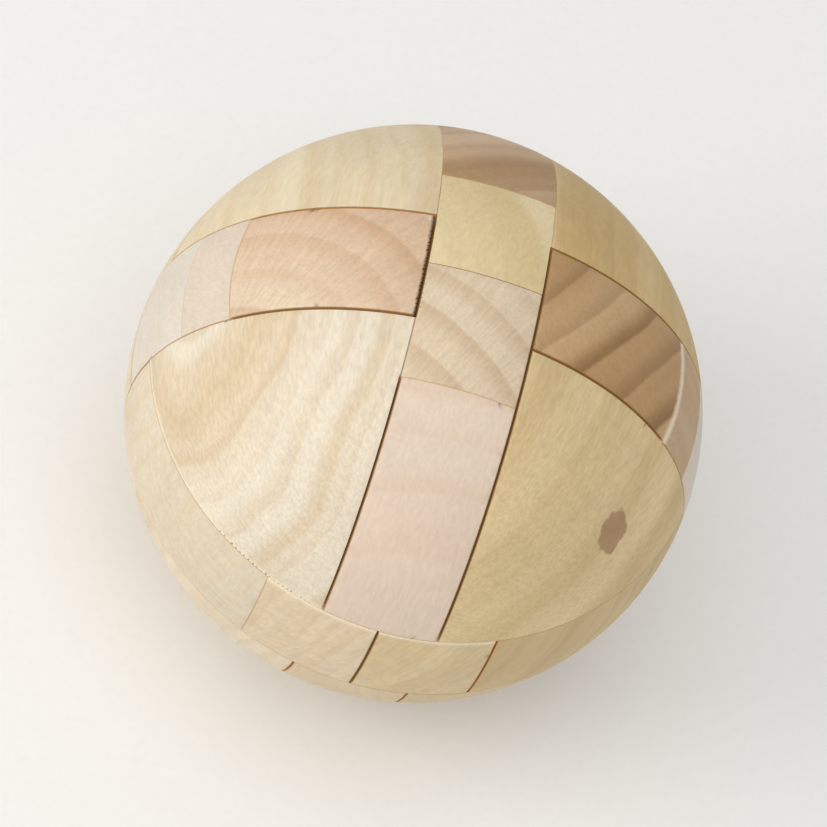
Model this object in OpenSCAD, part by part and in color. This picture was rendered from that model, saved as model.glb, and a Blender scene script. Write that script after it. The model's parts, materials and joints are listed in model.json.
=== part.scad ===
/* [Ball] */
// Diameter of the finished ball
ball_d = 74; // [60:1:120]
// Width of one square stick
stick_w = 15; // [10:0.5:18]

/* [Fit] */
// Gap between two pieces of the puzzle
play = 0.3; // [0.1:0.05:0.5]
// Gap where two pieces fit so closely that the seam almost closes
close_play = 0.1; // [0.04:0.02:0.2]

/* [Hidden] */
// The whole ball is laid out in half stick widths, from its centre
unit = stick_w / 2;
// Any box that reaches this far leaves the ball
far = ball_d / unit;
// The ball's poles are tilted so that no seam passes through them
pole_tilt = [40, 35, 0];
// Facets round the ball in a preview
ball_facets = 180;

// The six pieces. Each is one notched stick with the blocks that are glued to it.
KEY = "key";
BACK = "back";
LEFT = "left";
RIGHT = "right";
UPPER = "upper";
LOWER = "lower";

pale = "#e6d3b4";
yellow = "#dcc79a";
cream = "#e9d8bb";
beige = "#e0ccb2";
pink = "#e3cab0";
orange = "#dcbb98";
brown = "#b99570";

// Each block: name, piece, colour, then its boxes as [x from, x to, y from, y to, z from, z to] in units.
// A stick has two arms and the part of the core that it keeps.
STICKS = [
    ["stick_z_front", KEY, beige, [[-1, 1, -2, 0, -far, far]]],
    ["stick_z_back", BACK, yellow, [
        [-1, 1, 0, 2, 2, far],
        [-1, 1, 0, 2, -far, -2],
        [-1, 1, 1, 2, 1, far],
        [-1, 1, 1, 2, -far, -1],
        [0, 1, 1, 2, -far, far]]],
    ["stick_y_left", LEFT, cream, [
        [-2, -1, -far, far, -1, 1],
        [-2, 0, -far, -2, -1, 1],
        [-2, 0, 0, far, -1, 1]]],
    ["stick_y_right", RIGHT, beige, [
        [0, 2, -far, -2, -1, 1],
        [0, 2, 2, far, -1, 1],
        [1, 2, -far, 0, -1, 1],
        [1, 2, 1, far, -1, 1],
        [1, 2, -far, far, -1, 0]]],
    ["stick_x_upper", UPPER, pale, [
        [-far, -2, -1, 1, 0, 2],
        [-far, -1, -1, 1, 1, 2],
        [2, far, -1, 1, 0, 2],
        [1, far, -1, 1, 1, 2],
        [-far, far, 0, 1, 1, 2],
        [0, far, 0, 1, 0, 2]]],
    ["stick_x_lower", LOWER, cream, [
        [-far, -2, -1, 1, -2, 0],
        [-far, -1, -1, 1, -2, -1],
        [2, far, -1, 1, -2, 0],
        [1, far, -1, 1, -2, -1],
        [-far, far, 0, 1, -2, -1],
        [0, 1, 0, 1, -2, 0]]]
];

// Caps close the slab that runs through the ball at x = 0
CAPS = [
    ["cap_back_top", BACK, brown, [[-1, 1, 2, far, 1, far]]],
    ["cap_front_top", KEY, pink, [[-1, 1, -far, -2, 1, far]]],
    ["cap_back_bottom", RIGHT, pink, [[-1, 1, 2, far, -far, -1]]],
    ["cap_front_bottom", LEFT, cream, [[-1, 1, -far, -2, -far, -1]]]
];

// Wedges close the slab at y = 0, each a thin spacer with a deeper wedge on it
WEDGES = [
    ["spacer_left_top", UPPER, pink, [[-far, -1, -1, 1, 2, 3]]],
    ["wedge_left_top", UPPER, orange, [[-far, -1, -1, 1, 3, far]]],
    ["spacer_right_top", UPPER, orange, [[1, far, -1, 1, 2, 3]]],
    ["wedge_right_top", UPPER, brown, [[1, far, -1, 1, 3, far]]],
    ["spacer_left_bottom", BACK, pale, [[-far, -1, -1, 1, -3, -2]]],
    ["wedge_left_bottom", BACK, pink, [[-far, -1, -1, 1, -far, -3]]],
    ["spacer_right_bottom", BACK, pale, [[1, far, -1, 1, -3, -2]]],
    ["wedge_right_bottom", BACK, orange, [[1, far, -1, 1, -far, -3]]]
];

// Cheeks close the slab at z = 0
CHEEKS = [
    ["cheek_left_front", LEFT, cream, [[-far, -2, -far, -1, -1, 1]]],
    ["cheek_right_front", LOWER, beige, [[2, far, -far, -1, -1, 1]]],
    ["cheek_left_back", UPPER, cream, [[-far, -2, 1, far, -1, 1]]],
    ["cheek_right_back", RIGHT, yellow, [[2, far, 1, far, -1, 1]]]
];

// Corners are the eight eighths of the ball outside all three slabs
CORNERS = [
    ["corner_left_front_top", KEY, cream, [[-far, -1, -far, -1, 1, far]]],
    ["corner_right_front_top", RIGHT, yellow, [[1, far, -far, -1, 1, far]]],
    ["corner_left_back_top", BACK, cream, [[-far, -1, 1, far, 1, far]]],
    ["corner_right_back_top", BACK, yellow, [[1, far, 1, far, 1, far]]],
    ["corner_left_front_bottom", LOWER, cream, [[-far, -1, -far, -1, -far, -1]]],
    ["corner_right_front_bottom", LOWER, beige, [[1, far, -far, -1, -far, -1]]],
    ["corner_left_back_bottom", BACK, pale, [[-far, -1, 1, far, -far, -1]]],
    ["corner_right_back_bottom", RIGHT, yellow, [[1, far, 1, far, -far, -1]]]
];

BLOCKS = concat(STICKS, CAPS, WEDGES, CHEEKS, CORNERS);

// Seams between two pieces that have almost closed
CLOSE_SEAMS = [
    ["stick_z_front", "stick_z_back"],
    ["stick_x_upper", "corner_left_front_top"],
    ["stick_x_upper", "corner_left_back_top"],
    ["stick_x_upper", "corner_right_front_top"],
    ["stick_x_upper", "corner_right_back_top"],
    ["spacer_left_top", "corner_left_front_top"],
    ["spacer_left_top", "corner_left_back_top"],
    ["spacer_right_top", "corner_right_front_top"],
    ["spacer_right_top", "corner_right_back_top"],
    ["corner_left_front_top", "stick_y_left"],
    ["corner_left_front_top", "cheek_left_front"],
    ["corner_right_front_top", "cheek_right_front"],
    ["cap_front_top", "stick_y_left"],
    ["cap_front_top", "stick_y_right"],
    ["stick_y_left", "corner_left_front_bottom"],
    ["stick_y_right", "corner_right_front_bottom"],
    ["stick_y_right", "cap_front_bottom"],
    ["cheek_left_front", "corner_left_front_bottom"]
];

// Seams between two blocks that are glued to the same stick but not to each other
OPEN_SEAMS = [
    ["cap_front_top", "corner_left_front_top"]
];

function name_of(b) = b[0];
function piece_of(b) = b[1];
function boxes_of(b) = b[3];

function listed(pairs, a, b) =
    len([for (p = pairs) if ((p[0] == a && p[1] == b) || (p[0] == b && p[1] == a)) 1]) > 0;

// Width of the seam between two blocks, zero where they are glued
function seam(a, b) =
    listed(OPEN_SEAMS, name_of(a), name_of(b)) ? play
    : piece_of(a) == piece_of(b) ? 0
    : listed(CLOSE_SEAMS, name_of(a), name_of(b)) ? close_play
    : play;

// True where two boxes touch or overlap
function meet(r, s) =
    r[0] <= s[1] && s[0] <= r[1] && r[2] <= s[3] && s[2] <= r[3] && r[4] <= s[5] && s[4] <= r[5];

function meets_any(r, boxes) = len([for (s = boxes) if (meet(r, s)) 1]) > 0;

// A box given in units, grown on every side
module unit_box(r, grow = 0) {
    low = [for (axis = [0:2]) r[2 * axis] * unit - grow];
    high = [for (axis = [0:2]) r[2 * axis + 1] * unit + grow];
    translate(low) cube(high - low);
}

// The turned outside
module ball() {
    rotate(pole_tilt) sphere(d = ball_d, $fn = ball_facets);
}

// One block: its boxes inside the ball, cut back by half the seam from each neighbour
module block(b) {
    color(b[2])
        intersection() {
            ball();
            difference() {
                union() {
                    for (r = boxes_of(b)) unit_box(r);
                }
                for (other = BLOCKS) {
                    if (name_of(other) != name_of(b) && seam(b, other) > 0) {
                        for (r = boxes_of(other)) {
                            if (meets_any(r, boxes_of(b))) unit_box(r, seam(b, other) / 2);
                        }
                    }
                }
            }
        }
}

for (b = BLOCKS) {
    block(b);
}
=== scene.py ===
import json
import math
import random
import bmesh
import bpy
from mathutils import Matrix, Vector


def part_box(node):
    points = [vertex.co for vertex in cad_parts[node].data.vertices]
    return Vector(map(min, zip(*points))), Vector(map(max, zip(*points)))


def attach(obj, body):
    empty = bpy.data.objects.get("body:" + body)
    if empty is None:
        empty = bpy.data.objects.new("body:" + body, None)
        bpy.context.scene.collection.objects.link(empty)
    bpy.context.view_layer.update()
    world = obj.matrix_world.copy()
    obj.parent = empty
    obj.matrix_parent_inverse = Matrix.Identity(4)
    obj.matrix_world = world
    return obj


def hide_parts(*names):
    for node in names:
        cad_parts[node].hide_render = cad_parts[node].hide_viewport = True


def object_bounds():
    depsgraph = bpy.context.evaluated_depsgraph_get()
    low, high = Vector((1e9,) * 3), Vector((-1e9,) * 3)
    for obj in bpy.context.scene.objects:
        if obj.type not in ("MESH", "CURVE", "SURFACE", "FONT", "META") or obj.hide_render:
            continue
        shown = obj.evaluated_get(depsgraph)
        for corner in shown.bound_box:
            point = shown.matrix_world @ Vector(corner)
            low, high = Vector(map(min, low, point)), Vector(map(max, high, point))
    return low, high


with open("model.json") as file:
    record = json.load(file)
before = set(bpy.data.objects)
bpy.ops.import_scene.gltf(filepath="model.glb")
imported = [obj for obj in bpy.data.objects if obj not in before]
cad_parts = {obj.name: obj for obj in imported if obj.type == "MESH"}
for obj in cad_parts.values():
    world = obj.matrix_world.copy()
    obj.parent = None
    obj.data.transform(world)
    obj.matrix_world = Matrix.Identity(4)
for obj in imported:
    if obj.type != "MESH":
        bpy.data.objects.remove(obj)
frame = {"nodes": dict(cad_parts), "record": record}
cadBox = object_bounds()
blocks = frame["nodes"]
print("frame loaded,", len(blocks), "blocks")

mm = 0.001
ballRadius = (cadBox[1][2] - cadBox[0][2]) / 2
ballCentre = (Vector(cadBox[0]) + Vector(cadBox[1])) / 2


# One sRGB hex colour as the linear colour that Blender wants
def linearColour(hexColour):
    def toLinear(value):
        return value / 12.92 if value <= 0.04045 else ((value + 0.055) / 1.055) ** 2.4
    parts = [int(hexColour[i:i + 2], 16) / 255 for i in (1, 3, 5)]
    return tuple(toLinear(value) for value in parts) + (1.0,)


# Camera and light share the three directions of the view
cameraSettings = {
    "towardsCamera": Vector((-0.1291, -0.5055, 0.8531)),
    "up": Vector((-0.2713, 0.8455, 0.4600)),
    "distance": 24.9,      # in ball radii
    "lens": 313.2,         # mm
    "sensor": 36,          # mm
    "farthest": 20,        # metres
}


def viewAxes():
    back = cameraSettings["towardsCamera"].normalized()
    right = cameraSettings["up"].cross(back).normalized()
    return right, back.cross(right), back


def placeLooking(thing, position, target, up):
    back = (position - target).normalized()
    right = up.cross(back).normalized()
    upright = back.cross(right)
    matrix = thing.matrix_world.copy()
    for row in range(3):
        matrix[row][0] = right[row]
        matrix[row][1] = upright[row]
        matrix[row][2] = back[row]
        matrix[row][3] = position[row]
    thing.matrix_world = matrix


def makeCamera():
    right, up, back = viewAxes()
    data = bpy.data.cameras.new("camera")
    data.lens = cameraSettings["lens"]
    data.sensor_width = cameraSettings["sensor"]
    data.clip_end = cameraSettings["farthest"]
    camera = bpy.data.objects.new("camera", data)
    bpy.context.scene.collection.objects.link(camera)
    position = ballCentre + back * ballRadius * cameraSettings["distance"]
    placeLooking(camera, position, ballCentre, up)
    bpy.context.scene.camera = camera


makeCamera()
print("camera placed")

# Places are in metres along the view's right, up and back directions
lightSettings = {
    "window": {"place": (-0.62, 0.16, 0.55), "size": 0.50, "watts": 2.65, "colour": "#fffcf7"},
    "fill": {"place": (0.10, 0.25, 0.90), "size": 0.80, "watts": 2.35, "colour": "#fbfaf6"},
    "surround": 0.57,
}
bpy.context.scene.view_settings.view_transform = "Standard"


def makeLight(name):
    setting = lightSettings[name]
    right, up, back = viewAxes()
    data = bpy.data.lights.new(name, "AREA")
    data.shape = "DISK"
    data.size = setting["size"]
    data.energy = setting["watts"]
    data.color = linearColour(setting["colour"])[:3]
    lamp = bpy.data.objects.new(name, data)
    bpy.context.scene.collection.objects.link(lamp)
    place = setting["place"]
    position = ballCentre + right * place[0] + up * place[1] + back * place[2]
    placeLooking(lamp, position, ballCentre, Vector((0.0, 0.0, 1.0)))


makeLight("window")
makeLight("fill")
world = bpy.data.worlds.new("surround")
bpy.context.scene.world = world
world.use_nodes = True
world.node_tree.nodes["Background"].inputs["Color"].default_value = linearColour("#ffffff")
world.node_tree.nodes["Background"].inputs["Strength"].default_value = lightSettings["surround"]
print("lights placed")


# Settings that several nodes share
multiply = {"operation": "MULTIPLY"}
multiplyAdd = {"operation": "MULTIPLY_ADD"}
subtract = {"operation": "SUBTRACT"}
scaled = {"operation": "SCALE"}
length = {"operation": "LENGTH"}
dotProduct = {"operation": "DOT_PRODUCT"}
softRamp = {"interpolation_type": "SMOOTHSTEP"}
colourMix = {"data_type": "RGBA"}
seededNoise = {"noise_dimensions": "4D"}


# Adds one node, sets its properties, then its sockets: a value, or a link when given an output.
# A socket goes by its name, or by i and its number where several have the same name.
def addNode(tree, kind, settings=None, **sockets):
    node = tree.nodes.new(kind)
    for key, value in (settings or {}).items():
        setattr(node, key, value)
    for key, value in sockets.items():
        name = key.replace("_", " ")
        socket = node.inputs[int(key[1:])] if key[0] == "i" and key[1:].isdigit() else node.inputs[name]
        if isinstance(value, bpy.types.NodeSocket):
            tree.links.new(value, socket)
        else:
            socket.default_value = value
    return node


def startMaterial(name):
    material = bpy.data.materials.new(name)
    material.use_nodes = True
    material.node_tree.nodes.clear()
    return material, material.node_tree


floorSettings = {
    "colour": "#fbfbfa", "speck": "#f6f6f5",
    "size": 3.0,            # metres
    "peel": 1.2,            # mm across one bump of the paint
    "peelDepth": 0.1,       # mm
    "peelStrength": 0.05,
    "roughness": 0.8,
}


# Painted board, rolled with matt emulsion: even and pale, with a barely seen orange peel
def makeFloor():
    material, tree = startMaterial("paintedBoardMatt")
    where = addNode(tree, "ShaderNodeTexCoord").outputs["Object"]
    peel = addNode(tree, "ShaderNodeTexNoise", Vector=where, Scale=1 / (floorSettings["peel"] * mm),
                   Detail=2.0).outputs[0]
    tone = addNode(tree, "ShaderNodeMix", colourMix, i0=peel, i6=linearColour(floorSettings["colour"]),
                   i7=linearColour(floorSettings["speck"])).outputs[2]
    bump = addNode(tree, "ShaderNodeBump", Strength=floorSettings["peelStrength"],
                   Distance=floorSettings["peelDepth"] * mm, Height=peel).outputs[0]
    shader = addNode(tree, "ShaderNodeBsdfPrincipled", Base_Color=tone, Roughness=floorSettings["roughness"],
                     Normal=bump)
    addNode(tree, "ShaderNodeOutputMaterial", Surface=shader.outputs[0])
    half = floorSettings["size"] / 2
    level = cadBox[0][2]
    mesh = bpy.data.meshes.new("floor")
    corners = [(-half, -half, level), (half, -half, level), (half, half, level), (-half, half, level)]
    mesh.from_pydata(corners, [], [(0, 1, 2, 3)])
    mesh.materials.append(material)
    floor = bpy.data.objects.new("floor", mesh)
    bpy.context.scene.collection.objects.link(floor)


makeFloor()
print("floor laid")

# What every block has in common: pale diffuse-porous wood, like lime, turned and sanded dry
woodSettings = {
    "fibreWidth": 0.22,     # mm across one visible fibre streak
    "fibreLength": 12.0,    # mm
    "rayWidth": 0.22,       # mm across one ray; coarser than real so that it shows
    "rayLength": 4.5,       # mm
    "vesselWidth": 0.30,    # mm, the fine dark flecks; coarser than real so that they show
    "cloudSize": 11.0,      # mm
    "wobbleSize": 16.0,     # mm over which a ring wanders
    "wobbleReach": 4,       # mm that a ring moves at most, for a board's wobble of 1
    "bandWidth": 1.7,       # in rings
    "rayHeight": 0.3,       # how fast rays change along the grain, against across it
    "lateWood": (0.35, 0.90),       # where in a year the dark line starts and is darkest
    "yearShare": (0.65, 0.35),      # the part of a line's strength that varies by year, and the rest
    "bandRange": (0.36, 0.66),      # the range of the noise that makes a band
    "cloudRange": (0.3, 0.7),
    "cloudTone": (0.96, 1.03),
    "fleckRange": (0.12, 0.34),
    "streakRange": (0.25, 0.75),
    "fibreTone": 0.13,
    "rayTone": 0.08,
    "fleckTone": 0.05,
    "seedShift": (7.0, 5.0),        # keeps the noise of bands and clouds apart from the rings
    "roughness": 0.58,
    "roughRange": (0.3, 0.7),
    "smoother": 0.06,       # how far the roughness goes under and over its middle
    "rougher": 0.08,
    "ior": 1.45,
    "relief": 0.03,         # mm
    "reliefStrength": 0.35,
    "rayRelief": 0.4,       # these four against the relief of a fibre, and hollow where below zero
    "fleckRelief": -0.5,
    "sawRelief": 0.8,
    "seamRelief": -0.8,
    "skin": 0.5,            # mm below the turned face where the painted gap light on a sawn wall and the painted seam shade start to fade
    "wallDepth": 2.4,       # mm below the turned face to which the painted gap light on a sawn wall and the painted seam shade reach
    "wallRange": (0.10, 0.35),      # mm below the turned face over which the look of a sawn wall sets in
    # The golden colour of a sawn wall near the turned face is painted light: it stands in for the light that
    # brightens the narrow gaps
    "wallStain": 0.9,
    "paintedGapColour": "#dca95c",
    "sawMark": 0.9,         # mm between saw marks on the hidden faces
    "paintedGlow": 0.10,           # painted glow: emission that stands for the light that comes through the rim of a sawn wall
}
noiseCell = 0.5             # noise cells across one streak
waveUnit = 0.31             # a wave texture at scale 1 repeats about every 0.31

# A direction that is not the grain's, for boards whose grain is level or upright. limit is the rise of
# the grain from which it counts as upright.
asideOfGrain = {"level": Vector((0.3, 0.2, 0.93)), "upright": Vector((1.0, 0.1, 0.0)), "limit": 0.8}

# A dead knot, in mm: its edge is ragged, and squash makes it oval
knotSettings = {
    "squash": (1.35, 1.0, 0.85), "rag": 2.2, "ragSize": 1.6, "rim": (3.65, 4.10), "strength": 0.85,
    "dark": "#94704a", "light": "#b3926a",
}

# A side of a block's box that lies within sawnReach, in ball radii, is a sawn wall. ragSize and start
# are in mm. The noise is about 0.5 on average, so a rag of 2 keeps a seam style's reach on average.
seamSettings = {"sawnReach": 0.66, "ragSize": 0.7, "rag": 2.0, "start": 0.02}

# How a seam looks from the block's own side: a line of painted shade along the gap, darkest along open and
# torn gaps, and a lighter worn line on a rubbed side. reach is in mm from the edge.
seamStyles = {
    "open": {"colour": "#8f6a30", "reach": 0.16, "strength": 0.70},
    "fine": {"colour": "#c79d58", "reach": 0.16, "strength": 0.60},
    "quiet": {"colour": "#d4b788", "reach": 0.10, "strength": 0.25},
    "torn": {"colour": "#4f3c1b", "reach": 0.50, "strength": 1.0},
    "rubbed": {"colour": "#f6e8cc", "reach": 0.75, "strength": 0.75},
}

# Each block was sawn from its own board. colour is the early wood, line the late wood, band the broad
# tint. grain is the way the fibres run, pith where the rings centre (mm from the ball's centre), ring
# the spacing in mm; then the strength of line, band, fibre and ray; wobble is how far the rings wander,
# and ease is the sanded edge in mm. sides gives the seam style of each side, where it isn't fine, and
# knot the place of a dead knot in mm.
plainBoard = {
    "colour": "#e6d2b2", "line": "#d0b48a", "band": "#d9c097", "grain": (0, 0, 1), "pith": (60, -40, 0),
    "ring": 2.6, "lines": 0.35, "bands": 0.45, "fibre": 0.45, "rays": 0.35, "wobble": 1.2, "ease": 0.07,
    "sides": {}, "seed": 0,
}

boards = {
    "stick_z_front": {"colour": "#e0cdb2", "line": "#c2a480", "band": "#d2bb9a", "grain": (0.06, 0.04, 1),
                      "pith": (-28, -56, 0), "ring": 4.9, "lines": 0.70, "bands": 0.45, "rays": 0.9,
                      "wobble": 0.5, "ease": 0.05, "sides": {"-x": "open", "+x": "open", "+y": "quiet"}},
    "stick_z_back": {"colour": "#e6d4ac", "line": "#caaf74", "band": "#d6bd88", "grain": (0, 1, 0.35),
                     "pith": (45, 0, -5), "ring": 4.4, "lines": 0.2, "bands": 0.75, "ease": 0.05,
                     "sides": {"-x": "open", "+x": "fine", "-y": "quiet"}},
    "stick_y_left": {"colour": "#e2cfb2", "line": "#cdb088", "band": "#dcc29a", "grain": (0.45, 0.2, 1),
                     "pith": (-55, 10, 30), "ring": 2.4, "rays": 0.7, "ease": 0.05,
                     "sides": {"+z": "rubbed", "+x": "open", "-x": "fine"}},
    "stick_y_right": {"colour": "#dfc9a0", "line": "#c5a576", "band": "#cfb486", "grain": (0.5, 0.2, 1),
                      "pith": (50, 25, 0), "ring": 3.1, "rays": 0.7,
                      "sides": {"+z": "rubbed", "-x": "open", "+x": "open"}},
    "stick_x_upper": {"colour": "#dbd3c7", "line": "#dcc9ae", "band": "#e0cfb6", "grain": (1, 0, 0.1),
                      "pith": (0, 60, -20), "ring": 3.3, "lines": 0.25,
                      "sides": {"-y": "fine", "+y": "quiet", "+z": "quiet"}},
    "stick_x_lower": {"colour": "#e6d6ba", "line": "#d4bc96", "band": "#dac59f", "grain": (1, 0.1, 0),
                      "pith": (0, -50, -30), "ring": 2.8},
    "cap_back_top": {"colour": "#d2b493", "line": "#94703f", "band": "#ab875e", "grain": (0.75, 1, 0.3),
                     "pith": (-30, 20, 10), "ring": 5.2, "lines": 0.3, "bands": 0.9, "wobble": 0.9,
                     "sides": {"-y": "fine", "+x": "fine", "-x": "quiet"}},
    "cap_front_top": {"colour": "#e5d2bf", "line": "#d8bb9f", "band": "#e0c7b0", "grain": (0.02, 0.25, 1),
                      "pith": (-8, 70, 0), "ring": 3.9, "lines": 0.30, "bands": 0.5, "rays": 0.45,
                      "fibre": 0.3, "wobble": 0.7, "ease": 0.05,
                      "sides": {"-x": "open", "+x": "open", "+y": "quiet", "-z": "fine"}},
    "cap_back_bottom": {"colour": "#e2ccb2", "grain": (0, 1, -0.5), "pith": (50, 30, 0)},
    "cap_front_bottom": {"colour": "#e0cbac", "grain": (0, 1, 0.4), "pith": (-60, 10, 0)},
    "spacer_left_top": {"colour": "#d9cbba", "line": "#dcc3a4", "band": "#e2cdb4", "grain": (1, 0, 0.5),
                        "pith": (0, 70, 0), "ring": 3.0, "lines": 0.15, "bands": 0.3,
                        "sides": {"+y": "quiet"}},
    "wedge_left_top": {"colour": "#dfc9ae", "line": "#c8a07a", "band": "#d6b697", "grain": (0.06, 0.05, 1),
                       "pith": (-35, -25, 0), "ring": 5.0, "lines": 0.60, "bands": 0.8, "rays": 0.8,
                       "wobble": 0.6, "ease": 0.08, "sides": {"+x": "torn", "-y": "open", "-z": "fine"}},
    "spacer_right_top": {"colour": "#c8ab88", "line": "#b08c64", "band": "#ba9870", "grain": (1, 0, -0.5),
                         "pith": (0, 60, 0), "ring": 3.0, "lines": 0.2, "sides": {"+z": "rubbed"}},
    "wedge_right_top": {"colour": "#cdab7e", "line": "#8a6436", "band": "#b48b5a", "grain": (-0.05, 0.05, 1),
                        "pith": (-34, 29, 0), "ring": 4.6, "lines": 0.85, "bands": 0.75, "rays": 0.5,
                        "wobble": 0.5, "ease": 0.08,
                        "sides": {"-x": "open", "-y": "open", "+y": "open", "-z": "rubbed"}},
    "spacer_left_bottom": {"colour": "#e6d4b8", "grain": (1, 0, 0.3), "pith": (0, 60, -20)},
    "wedge_left_bottom": {"colour": "#e0c8ac", "line": "#caa783", "grain": (0.3, 0, 1), "pith": (-30, 50, 0)},
    "spacer_right_bottom": {"colour": "#e3d0b0", "grain": (1, 0, -0.3), "pith": (0, -60, -20)},
    "wedge_right_bottom": {"colour": "#cda983", "line": "#a57c50", "band": "#b88f62", "grain": (0, 0.2, 1),
                           "pith": (20, -50, 0), "ring": 4.6, "lines": 0.7},
    "cheek_left_front": {"colour": "#dccfb8", "line": "#d6bd96", "band": "#dfc9a3", "grain": (0.45, 0.3, 1),
                         "pith": (-60, 20, 40), "ring": 3.0, "lines": 0.3, "rays": 0.6, "ease": 0.04,
                         "sides": {"+z": "quiet", "-z": "quiet"}},
    "cheek_right_front": {"colour": "#d2b98a", "line": "#b99c6a", "band": "#c6aa7a", "grain": (0.2, 0.3, 1),
                          "pith": (60, 30, 0), "ring": 3.4, "ease": 0.04, "sides": {"+z": "quiet"}},
    "cheek_left_back": {"colour": "#e4d2b4", "grain": (0.2, -0.3, 1), "pith": (-60, 0, 0)},
    "cheek_right_back": {"colour": "#dcc494", "line": "#c2a268", "grain": (0, 0.3, 1), "pith": (60, 60, 0)},
    "corner_left_front_top": {"colour": "#e6dac5", "line": "#cfb287", "band": "#d4bb94",
                              "grain": (0.02, 1, 0.02), "pith": (-70, 0, 36), "ring": 3.3,
                              "lines": 0.32, "bands": 0.75, "fibre": 0.7, "wobble": 1.6, "ease": 0.06,
                              "sides": {"+x": "open", "+y": "quiet", "-z": "rubbed"}},
    "corner_right_front_top": {"colour": "#e2ca9c", "line": "#c2a470", "band": "#cbae78",
                               "grain": (0.12, 1, 0.05), "pith": (64, 0, -12), "ring": 4.6, "lines": 0.12,
                               "bands": 0.7, "fibre": 0.7, "ease": 0.06, "knot": (24.8, -19.8, 18.9),
                               "sides": {"-x": "open", "+y": "open", "-z": "quiet"}},
    "corner_left_back_top": {"colour": "#e6d7b8", "line": "#d4bb8c", "band": "#d8c098",
                             "grain": (0.02, 1, -0.2), "pith": (50, 0, 20), "ring": 3.2, "lines": 0.3,
                             "bands": 0.75, "ease": 0.04,
                             "sides": {"-y": "fine", "+x": "quiet", "-z": "quiet"}},
    "corner_right_back_top": {"colour": "#dec492", "line": "#bd9c60", "band": "#c8a86e",
                              "grain": (0.05, 1, -0.2), "pith": (-50, 0, 40), "ring": 3.8, "lines": 0.3,
                              "bands": 0.8,
                              "sides": {"-y": "open", "-x": "quiet"}},
    "corner_left_front_bottom": {"colour": "#e8d8be", "grain": (0.1, 1, 0.3), "pith": (60, 0, 0), "ring": 2.8,
                                 "ease": 0.04, "sides": {"+z": "quiet"}},
    "corner_right_front_bottom": {"colour": "#d6c09a", "grain": (-0.2, 1, 0.3), "pith": (50, 0, 30)},
    "corner_left_back_bottom": {"colour": "#e6d6bc", "grain": (0.2, 1, 0.2), "pith": (60, 0, 0)},
    "corner_right_back_bottom": {"colour": "#dcc698", "line": "#c2a570", "grain": (0, 1, 0.3),
                                 "pith": (-50, 0, -40)},
}

# Each side's name, the axis that it faces along and which end of the block's box it is
sideNames = {"-x": (0, 0), "+x": (0, 1), "-y": (1, 0), "+y": (1, 1), "-z": (2, 0), "+z": (2, 1)}


# Paints shade along the rim of each sawn side in its own seam style, a rubbed side lighter instead, and
# returns the colour and the total mask
def addSeams(tree, where, name, board, colour, nearSkin):
    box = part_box(name)
    axes = addNode(tree, "ShaderNodeSeparateXYZ", Vector=where)
    ragged = addNode(tree, "ShaderNodeTexNoise", Vector=where, Scale=1 / seamSettings["ragSize"],
                     Detail=5.0, Roughness=0.75).outputs[0]
    sawnReach = seamSettings["sawnReach"] * ballRadius
    total = None
    for side, (axis, end) in sideNames.items():
        place = box[end][axis]
        if abs(place) > sawnReach:
            continue
        style = seamStyles[board["sides"].get(side, "fine")]
        away = addNode(tree, "ShaderNodeMath", subtract, i0=axes.outputs[axis], i1=place / mm).outputs[0]
        gap = addNode(tree, "ShaderNodeMath", {"operation": "ABSOLUTE"}, i0=away).outputs[0]
        reach = addNode(tree, "ShaderNodeMath", multiply, i0=ragged,
                        i1=style["reach"] * seamSettings["rag"]).outputs[0]
        line = addNode(tree, "ShaderNodeMapRange", softRamp, Value=gap, From_Min=seamSettings["start"],
                       From_Max=reach, To_Min=style["strength"], To_Max=0.0).outputs[0]
        amount = addNode(tree, "ShaderNodeMath", multiply, i0=line, i1=nearSkin).outputs[0]
        # painted shade along the seam in the style's colour; a rubbed side is lightened instead
        colour = addNode(tree, "ShaderNodeMix", colourMix, i0=amount, i6=colour,
                         i7=linearColour(style["colour"])).outputs[2]
        if total is None:
            total = amount
        else:
            total = addNode(tree, "ShaderNodeMath", {"operation": "MAXIMUM"}, i0=total, i1=amount).outputs[0]
    return colour, total


# A dead knot: brown and mottled, with a ragged edge
def addKnot(tree, where, place, colour):
    away = addNode(tree, "ShaderNodeVectorMath", subtract, i0=where, i1=place).outputs[0]
    oval = addNode(tree, "ShaderNodeVectorMath", multiply, i0=away, i1=knotSettings["squash"]).outputs[0]
    reach = addNode(tree, "ShaderNodeVectorMath", length, i0=oval).outputs["Value"]
    rough = addNode(tree, "ShaderNodeTexNoise", Vector=where, Scale=1 / knotSettings["ragSize"],
                    Detail=4.0, Roughness=0.6).outputs[0]
    edge = addNode(tree, "ShaderNodeMath", multiplyAdd, i0=rough, i1=knotSettings["rag"], i2=reach).outputs[0]
    inside = addNode(tree, "ShaderNodeMapRange", softRamp, Value=edge, From_Min=knotSettings["rim"][0],
                     From_Max=knotSettings["rim"][1], To_Min=knotSettings["strength"], To_Max=0.0).outputs[0]
    mottled = addNode(tree, "ShaderNodeMix", colourMix, i0=rough, i6=linearColour(knotSettings["dark"]),
                      i7=linearColour(knotSettings["light"])).outputs[2]
    return addNode(tree, "ShaderNodeMix", colourMix, i0=inside, i6=colour, i7=mottled).outputs[2]


# Two directions across the grain and the grain's own
def grainDirections(board):
    grain = Vector(board["grain"]).normalized()
    level = abs(grain.z) < asideOfGrain["limit"]
    across = grain.cross(asideOfGrain["level" if level else "upright"]).normalized()
    return across, grain.cross(across), grain


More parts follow.
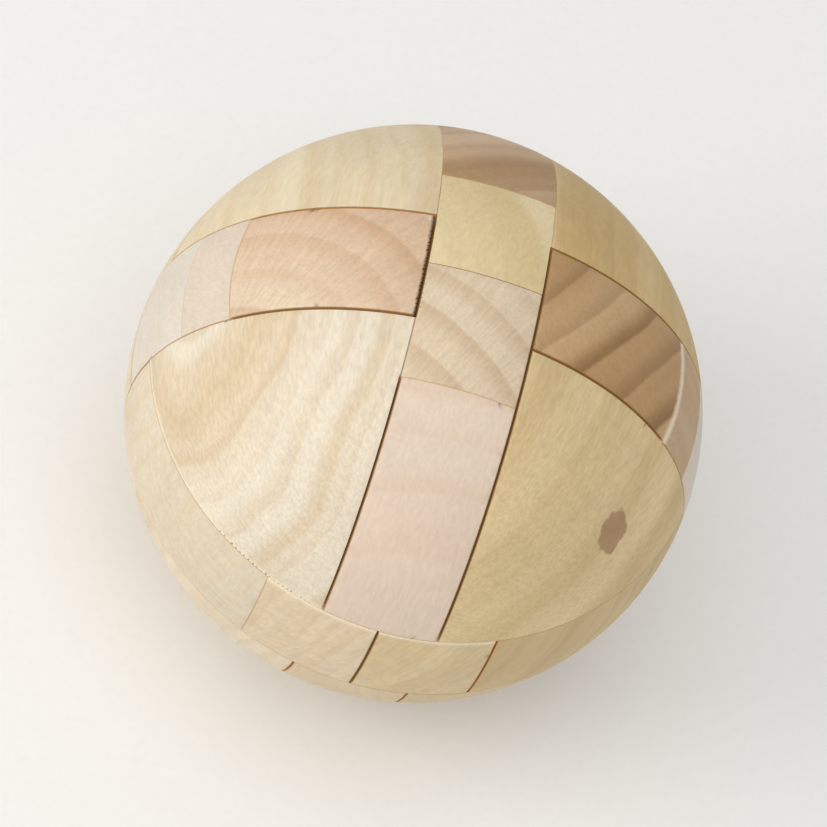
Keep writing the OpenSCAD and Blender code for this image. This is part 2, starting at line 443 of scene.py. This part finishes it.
# Growth rings round the pith, pushed about by slow noise. Returns how dark the late wood is, and the
# distance from the pith after the push.
def addRings(tree, where, radius, board):
    slow = addNode(tree, "ShaderNodeTexNoise", seededNoise, Vector=where, W=float(board["seed"]),
                   Scale=1 / woodSettings["wobbleSize"], Detail=2.0, Roughness=0.45).outputs[0]
    push = addNode(tree, "ShaderNodeMath", multiplyAdd, i0=slow,
                   i1=board["wobble"] * woodSettings["wobbleReach"], i2=radius).outputs[0]
    ring = addNode(tree, "ShaderNodeMath", {"operation": "DIVIDE"}, i0=push, i1=board["ring"]).outputs[0]
    phase = addNode(tree, "ShaderNodeMath", {"operation": "FRACT"}, i0=ring).outputs[0]
    number = addNode(tree, "ShaderNodeMath", {"operation": "FLOOR"}, i0=ring).outputs[0]
    # the line darkens slowly and ends sharply, and each year is a little different
    lateStart, lateEnd = woodSettings["lateWood"]
    late = addNode(tree, "ShaderNodeMapRange", softRamp, Value=phase, From_Min=lateStart,
                   From_Max=lateEnd).outputs[0]
    stop = addNode(tree, "ShaderNodeMapRange", softRamp, Value=phase, From_Min=lateEnd, From_Max=1.0,
                   To_Min=1.0, To_Max=0.0).outputs[0]
    year = addNode(tree, "ShaderNodeTexWhiteNoise", {"noise_dimensions": "1D"}, W=number).outputs["Value"]
    yearStrength = addNode(tree, "ShaderNodeMath", multiplyAdd, i0=year, i1=woodSettings["yearShare"][0],
                           i2=woodSettings["yearShare"][1]).outputs[0]
    line = addNode(tree, "ShaderNodeMath", multiply, i0=late, i1=stop).outputs[0]
    line = addNode(tree, "ShaderNodeMath", multiply, i0=line, i1=yearStrength).outputs[0]
    line = addNode(tree, "ShaderNodeMath", multiply, i0=line, i1=board["lines"]).outputs[0]
    return line, push


# Broad tint along the rings
def addBands(tree, push, board):
    shift = board["seed"] * woodSettings["seedShift"][0]
    place = addNode(tree, "ShaderNodeCombineXYZ", X=push, Y=shift).outputs[0]
    band = addNode(tree, "ShaderNodeTexNoise", Vector=place, Detail=2.0,
                   Scale=1 / (board["ring"] * woodSettings["bandWidth"])).outputs[0]
    return addNode(tree, "ShaderNodeMapRange", softRamp, Value=band, From_Min=woodSettings["bandRange"][0],
                   From_Max=woodSettings["bandRange"][1], To_Min=0.0, To_Max=board["bands"]).outputs[0]


# Slow clouds that lighten and darken the wood
def addClouds(tree, where, board):
    shift = board["seed"] + woodSettings["seedShift"][1]
    cloud = addNode(tree, "ShaderNodeTexNoise", seededNoise, Vector=where, W=shift,
                    Scale=1 / woodSettings["cloudSize"], Detail=3.0).outputs[0]
    return addNode(tree, "ShaderNodeMapRange", softRamp, Value=cloud, From_Min=woodSettings["cloudRange"][0],
                   From_Max=woodSettings["cloudRange"][1], To_Min=woodSettings["cloudTone"][0],
                   To_Max=woodSettings["cloudTone"][1]).outputs[0]


# Fibres run along the grain, with fine dark flecks among them where vessels are cut
def addFibres(tree, parts):
    squeeze = woodSettings["fibreWidth"] / woodSettings["fibreLength"]
    lengthways = addNode(tree, "ShaderNodeMath", multiply, i0=parts[2], i1=squeeze).outputs[0]
    place = addNode(tree, "ShaderNodeCombineXYZ", X=parts[0], Y=parts[1], Z=lengthways).outputs[0]
    fibre = addNode(tree, "ShaderNodeTexNoise", Vector=place, Scale=noiseCell / woodSettings["fibreWidth"],
                    Detail=3.0, Roughness=0.6).outputs[0]
    vessel = addNode(tree, "ShaderNodeTexVoronoi", {"feature": "F1"}, Vector=place,
                     Scale=noiseCell / woodSettings["vesselWidth"]).outputs["Distance"]
    fleck = addNode(tree, "ShaderNodeMapRange", softRamp, Value=vessel, To_Min=1.0, To_Max=0.0,
                    From_Min=woodSettings["fleckRange"][0], From_Max=woodSettings["fleckRange"][1]).outputs[0]
    return fibre, fleck


# Rays run straight out from the pith, across the rings
def addRays(tree, name, board, parts, radius):
    across, through = grainDirections(board)[:2]
    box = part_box(name)
    middle = (box[0] + box[1]) / 2 / mm - Vector(board["pith"])
    meanRadius = math.hypot(middle.dot(across), middle.dot(through))
    angle = addNode(tree, "ShaderNodeMath", {"operation": "ARCTAN2"}, i0=parts[1], i1=parts[0]).outputs[0]
    arc = addNode(tree, "ShaderNodeMath", multiply, i0=angle, i1=meanRadius).outputs[0]
    squeeze = woodSettings["rayWidth"] / woodSettings["rayLength"]
    outwards = addNode(tree, "ShaderNodeMath", multiply, i0=radius, i1=squeeze).outputs[0]
    upwards = addNode(tree, "ShaderNodeMath", multiply, i0=parts[2], i1=woodSettings["rayHeight"]).outputs[0]
    place = addNode(tree, "ShaderNodeCombineXYZ", X=arc, Y=outwards, Z=upwards).outputs[0]
    return addNode(tree, "ShaderNodeTexNoise", Vector=place, Scale=noiseCell / woodSettings["rayWidth"],
                   Detail=3.0, Roughness=0.6).outputs[0]


# How much fibres, rays, flecks and clouds together lighten or darken the wood
def addTone(tree, board, fibre, ray, fleck, cloudy):
    low, high = woodSettings["streakRange"]
    fibreTone = woodSettings["fibreTone"] * board["fibre"]
    rayTone = woodSettings["rayTone"] * board["rays"]
    streak = addNode(tree, "ShaderNodeMapRange", softRamp, Value=fibre, From_Min=low, From_Max=high,
                     To_Min=1 - fibreTone, To_Max=1 + fibreTone).outputs[0]
    rayed = addNode(tree, "ShaderNodeMapRange", softRamp, Value=ray, From_Min=low, From_Max=high,
                    To_Min=1 - rayTone, To_Max=1 + rayTone).outputs[0]
    flecked = addNode(tree, "ShaderNodeMath", multiplyAdd, i0=fleck,
                      i1=-woodSettings["fleckTone"] * board["fibre"], i2=cloudy).outputs[0]
    streaked = addNode(tree, "ShaderNodeMath", multiply, i0=streak, i1=rayed).outputs[0]
    return addNode(tree, "ShaderNodeMath", multiply, i0=streaked, i1=flecked).outputs[0]


# The bump of fibres, rays, flecks, saw marks and torn seams
def addRelief(tree, fibre, ray, fleck, sawn, edges):
    layers = ((ray, "rayRelief"), (fleck, "fleckRelief"), (sawn, "sawRelief"), (edges, "seamRelief"))
    relief = fibre
    for layer, strength in layers:
        relief = addNode(tree, "ShaderNodeMath", multiplyAdd, i0=layer, i1=woodSettings[strength],
                         i2=relief).outputs[0]
    return addNode(tree, "ShaderNodeBump", Strength=woodSettings["reliefStrength"],
                   Distance=woodSettings["relief"] * mm, Height=relief).outputs[0]


# Pale wood, turned on a lathe and sanded: dry and matt, growth rings cut as soft arcs, fine rays across
# them, and short fibres along the grain. Faces inside the ball keep their saw marks.
def makeTurnedWood(name, board):
    material, tree = startMaterial("turnedLimewood." + name)
    metres = addNode(tree, "ShaderNodeTexCoord").outputs["Object"]
    where = addNode(tree, "ShaderNodeVectorMath", scaled, Vector=metres, Scale=1 / mm).outputs[0]
    moved = addNode(tree, "ShaderNodeVectorMath", subtract, i0=where, i1=board["pith"]).outputs[0]
    parts = []
    for direction in grainDirections(board):
        part = addNode(tree, "ShaderNodeVectorMath", dotProduct, i0=moved, i1=direction).outputs["Value"]
        parts.append(part)
    fromCentre = addNode(tree, "ShaderNodeVectorMath", length, i0=where).outputs["Value"]
    depth = addNode(tree, "ShaderNodeMath", subtract, i0=ballRadius / mm, i1=fromCentre).outputs[0]
    nearSkin = addNode(tree, "ShaderNodeMapRange", softRamp, Value=depth, From_Min=woodSettings["skin"],
                       From_Max=woodSettings["wallDepth"], To_Min=1.0, To_Max=0.0).outputs[0]
    plane = addNode(tree, "ShaderNodeCombineXYZ", X=parts[0], Y=parts[1]).outputs[0]
    radius = addNode(tree, "ShaderNodeVectorMath", length, i0=plane).outputs["Value"]
    lineAmount, push = addRings(tree, where, radius, board)
    bandAmount = addBands(tree, push, board)
    fibre, fleck = addFibres(tree, parts)
    ray = addRays(tree, name, board, parts, radius)
    # colour is built up in layers
    tint = addNode(tree, "ShaderNodeMix", colourMix, i0=bandAmount, i6=linearColour(board["colour"]),
                   i7=linearColour(board["band"])).outputs[2]
    ringed = addNode(tree, "ShaderNodeMix", colourMix, i0=lineAmount, i6=tint,
                     i7=linearColour(board["line"])).outputs[2]
    tone = addTone(tree, board, fibre, ray, fleck, addClouds(tree, where, board))
    lit = addNode(tree, "ShaderNodeVectorMath", scaled, Vector=ringed, Scale=tone).outputs[0]
    if "knot" in board:
        lit = addKnot(tree, where, board["knot"], lit)
    # a sawn wall is painted golden near the turned face, painted light that brightens the narrow gaps, and
    # plain wood further in, with saw marks
    paintedGapColour = linearColour(woodSettings["paintedGapColour"])
    wallStart, wallEnd = woodSettings["wallRange"]
    onWall = addNode(tree, "ShaderNodeMapRange", softRamp, Value=depth, From_Min=wallStart,
                     From_Max=wallEnd).outputs[0]
    rim = addNode(tree, "ShaderNodeMath", multiply, i0=onWall, i1=nearSkin).outputs[0]
    paintedGapAmount = addNode(tree, "ShaderNodeMath", multiply, i0=rim, i1=woodSettings["wallStain"]).outputs[0]
    gapLitColour = addNode(tree, "ShaderNodeMix", colourMix, i0=paintedGapAmount, i6=lit, i7=paintedGapColour).outputs[2]
    marks = addNode(tree, "ShaderNodeTexWave", {"bands_direction": "DIAGONAL"}, Vector=where,
                    Scale=waveUnit / woodSettings["sawMark"], Distortion=1.5, Detail=2.0).outputs["Fac"]
    sawn = addNode(tree, "ShaderNodeMath", multiply, i0=onWall, i1=marks).outputs[0]
    colour, edges = addSeams(tree, where, name, board, gapLitColour, nearSkin)
    # painted glow: the rim of a sawn wall glows in the golden wall colour, painted light that stands in for
    # light soaking through the wood, so a narrow gap looks brown and not black
    paintedGlow = addNode(tree, "ShaderNodeMix", colourMix, i0=rim, i6=linearColour("#000000"),
                   i7=paintedGapColour).outputs[2]
    low, high = woodSettings["roughRange"]
    rough = addNode(tree, "ShaderNodeMapRange", softRamp, Value=fibre, From_Min=low, From_Max=high,
                    To_Min=woodSettings["roughness"] - woodSettings["smoother"],
                    To_Max=woodSettings["roughness"] + woodSettings["rougher"]).outputs[0]
    shader = addNode(tree, "ShaderNodeBsdfPrincipled", Base_Color=colour, Roughness=rough,
                     IOR=woodSettings["ior"], Normal=addRelief(tree, fibre, ray, fleck, sawn, edges),
                     Emission_Color=paintedGlow, Emission_Strength=woodSettings["paintedGlow"])
    addNode(tree, "ShaderNodeOutputMaterial", Surface=shader.outputs[0])
    return material


# weld is in mm, sharp is the least angle between faces, in degrees, that is eased
edgeSettings = {"weld": 0.02, "segments": 2, "sharp": 35}


# Sharp edges are eased as sandpaper eases them
def easeEdges(block, width):
    weld = block.modifiers.new("closeMesh", "WELD")
    weld.merge_threshold = edgeSettings["weld"] * mm
    ease = block.modifiers.new("sandedEdge", "BEVEL")
    ease.width = width * mm
    ease.segments = edgeSettings["segments"]
    ease.limit_method = "ANGLE"
    ease.angle_limit = math.radians(edgeSettings["sharp"])
    ease.use_clamp_overlap = False
    ease.loop_slide = False
    smooth = block.modifiers.new("evenShading", "WEIGHTED_NORMAL")
    smooth.keep_sharp = True


# Edges that tore when the ball was turned. side is the block's worn side, run and out are the
# directions along the edge and out of the ball, span is the stretch in mm from the ball's centre,
# size is the largest chip in mm: along the edge, across it and deep.
chipSettings = {
    "wedge_left_top": {"side": "+x", "run": (0, 1, 0), "out": (0, 0, 1), "span": (-7.3, 5.0), "count": 21,
                       "size": (0.27, 0.55, 0.8)},
    "stick_z_front": {"side": "-x", "run": (0, 1, 0), "out": (0, 0, 1), "span": (-6.6, -1.5), "count": 8,
                      "size": (0.28, 0.50, 0.7)},
    "corner_left_front_top": {"side": "-z", "run": (1, 0, 0), "out": (0, -1, 0), "span": (-22.5, -9.0),
                              "count": 22, "size": (0.28, 0.55, 0.45)},
}


# How much one chip differs from the next: its place in its stretch, its size and its shape
chipSpread = {"place": (0.35, 0.65), "size": (0.35, 1.0), "shape": (0.75, 1.25)}


# The middle of each chip on the ball's surface
def chipPlaces(name, chip, dice):
    axis, end = sideNames[chip["side"]]
    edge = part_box(name)[end][axis]
    start, stop = chip["span"]
    for number in range(chip["count"]):
        step = number + dice.uniform(*chipSpread["place"])
        run = (start + (stop - start) * step / chip["count"]) * mm
        reach = math.sqrt(ballRadius ** 2 - edge ** 2 - run ** 2)
        place = Vector(chip["out"]) * reach + Vector(chip["run"]) * run
        place[axis] = edge
        yield place


# A bunch of small lumps along the edge, to be cut out of the block
def makeChips(name, chip, dice):
    form = bmesh.new()
    axis = sideNames[chip["side"]][0]
    across = Vector([float(i == axis) for i in range(3)])
    for place in chipPlaces(name, chip, dice):
        outwards = place.normalized()
        along = across.cross(outwards).normalized()
        frameAxes = (along, across, outwards)
        sizes = [size * mm * dice.uniform(*chipSpread["size"]) for size in chip["size"]]
        lump = bmesh.ops.create_icosphere(form, subdivisions=1, radius=1.0)["verts"]
        for corner in lump:
            rough = corner.co * dice.uniform(*chipSpread["shape"])
            corner.co = place + sum((frameAxes[i] * rough[i] * sizes[i] for i in range(3)), Vector())
    mesh = bpy.data.meshes.new("chips")
    form.to_mesh(mesh)
    form.free()
    chips = bpy.data.objects.new("chips", mesh)
    bpy.context.scene.collection.objects.link(chips)
    return chips


# The block as it is, with its worn edge chipped away in real geometry
def chipBlock(name, chip, seed):
    dice = random.Random(seed)
    block = blocks[name]
    worn = bpy.data.objects.new(name + "_worn", block.data.copy())
    bpy.context.scene.collection.objects.link(worn)
    easeEdges(worn, boards[name].get("ease", plainBoard["ease"]))
    worn.modifiers.remove(worn.modifiers["evenShading"])
    chips = makeChips(name, chip, dice)
    cut = worn.modifiers.new("chipped", "BOOLEAN")
    cut.object = chips
    cut.operation = "DIFFERENCE"
    cut.solver = "EXACT"
    bpy.context.view_layer.update()
    evaluated = worn.evaluated_get(bpy.context.evaluated_depsgraph_get())
    cutMesh = bpy.data.meshes.new_from_object(evaluated)
    worn.modifiers.clear()
    worn.data = cutMesh
    bpy.data.objects.remove(chips)
    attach(worn, bodyOf[name])
    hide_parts(name)
    return worn


record = frame["record"]
bodyOf = {node: body for body, nodes in record["behaviour"]["bodies"].items() for node in nodes}

# Each block draws its own wood and chips: a material seed of 1, 4, 7 and so on, a chip seed from 100 up
seedStep = 3
firstChipSeed = 100

for index, name in enumerate(sorted(blocks)):
    block = blocks[name]
    board = dict(plainBoard, **boards[name])
    board["seed"] = index * seedStep + 1
    material = makeTurnedWood(name, board)
    block.data.materials.clear()
    block.data.materials.append(material)
    for face in block.data.polygons:
        face.material_index = 0
    if name in chipSettings:
        worn = chipBlock(name, chipSettings[name], index + firstChipSeed)
        print(name, "chipped,", len(worn.data.polygons), "faces")
    else:
        easeEdges(block, board["ease"])
print("wood on every block")
